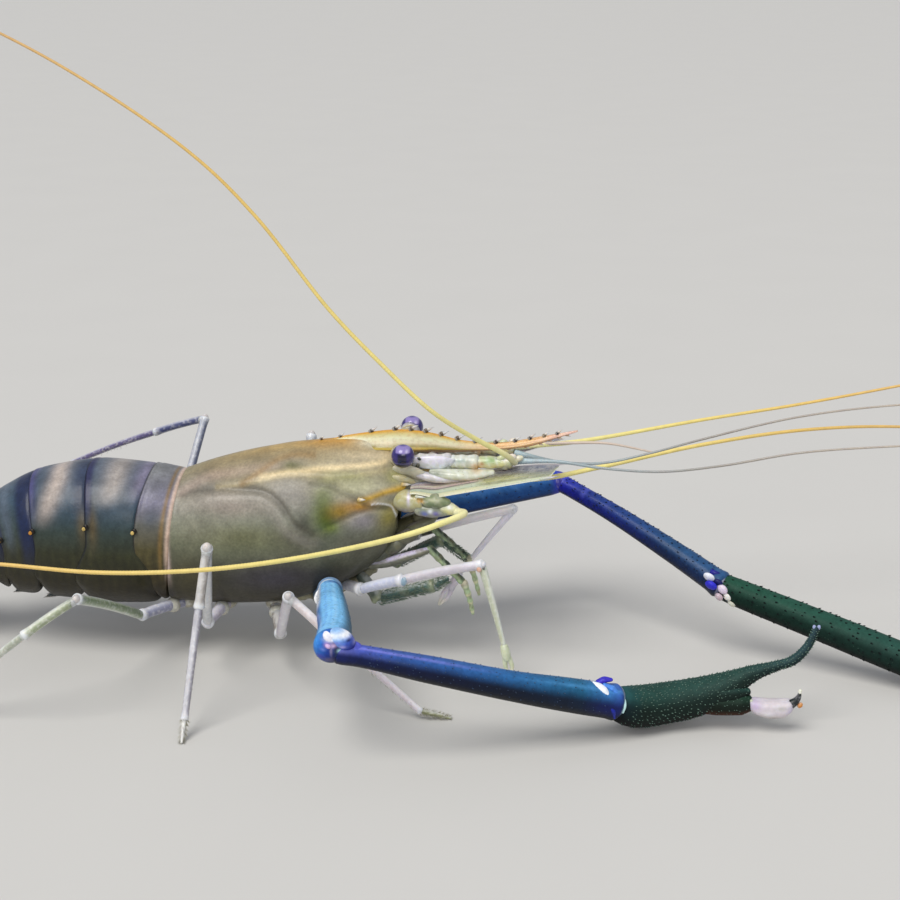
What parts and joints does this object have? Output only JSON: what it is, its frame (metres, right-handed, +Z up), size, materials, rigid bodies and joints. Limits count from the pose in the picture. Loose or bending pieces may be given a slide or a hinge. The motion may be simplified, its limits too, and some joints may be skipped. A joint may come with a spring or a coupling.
{
  "type": "giant river prawn",
  "caption": "Still life-size model of a male blue-clawed freshwater prawn walking on the floor, with spiny blue arms and long curved feelers.",
  "frame": {"origin": "middle of the whole animal's box, on the floor that it stands on", "axes": "+X towards the head along the body, +Y to the animal's left, +Z up"},
  "size_m": [0.4822, 0.1564, 0.2142],
  "materials": {
    "shell": "wet olive-grey shell with cream mottling and a gold crest",
    "rostrum": "golden orange shell that turns pink at the tip",
    "tail_shell": "wet blue-grey shell with pale bands and gold specks",
    "tail_fan": "thin blue shell with pale hairs at the edge",
    "underside": "pale olive shell between the legs",
    "head": "translucent cream shell with olive and orange spots",
    "mouthparts": "dark green shell with short pale hairs",
    "eye": "glossy dark violet eye",
    "scale": "translucent grey-green shell with white and pink stripes",
    "feeler": "lemon to peach, finely ringed",
    "thread": "grey, finely ringed",
    "leg": "translucent lilac-white shell with pale joints",
    "arm": "wet ultramarine shell with fine spines",
    "claw": "wet dark teal shell with pale spines",
    "finger": "smooth lilac-white shell with a dark tip"
  },
  "bodies": {
    "root": {"carapace": "shell", "sternum": "underside", "rostrum": "rostrum", "head": "head", "mouthparts": "mouthparts", "tail_ring_1": "tail_shell", "tail_ring_2": "tail_shell", "tail_ring_3": "tail_shell", "tail_ring_4": "tail_shell", "tail_ring_5": "tail_shell", "tail_ring_6": "tail_shell", "telson": "tail_fan", "tail_fan_inner_right": "tail_fan", "tail_fan_inner_left": "tail_fan", "tail_fan_outer_right": "tail_fan", "tail_fan_outer_left": "tail_fan", "eye_right": "eye", "eye_left": "eye", "eye_stalk_right": "head", "eye_stalk_left": "head", "antennule_base_right": "head", "antennule_base_left": "head", "antenna_base_right": "head", "antenna_base_left": "head", "antennal_scale_right": "scale", "antennal_scale_left": "scale", "antennule_right_1": "feeler", "antennule_right_2": "feeler", "antenna_right_1": "feeler", "antenna_right_2": "feeler", "antennule_thread_right": "thread", "maxilliped_right": "mouthparts", "leg_1_right": "leg", "leg_3_right": "leg", "leg_4_right": "leg", "leg_5_right": "leg", "arm_right_ischium": "arm", "arm_right_merus": "arm", "arm_right_carpus": "arm", "arm_right_palm": "claw", "arm_right_finger": "finger", "antennule_left_1": "feeler", "antennule_left_2": "feeler", "antenna_left_1": "feeler", "antenna_left_2": "feeler", "antennule_thread_left": "thread", "maxilliped_left": "mouthparts", "leg_1_left": "leg", "leg_3_left": "leg", "leg_4_left": "leg", "leg_5_left": "leg", "arm_left_ischium": "arm", "arm_left_merus": "arm", "arm_left_carpus": "arm", "arm_left_palm": "claw", "arm_left_finger": "finger"}
  },
  "joints": []
}
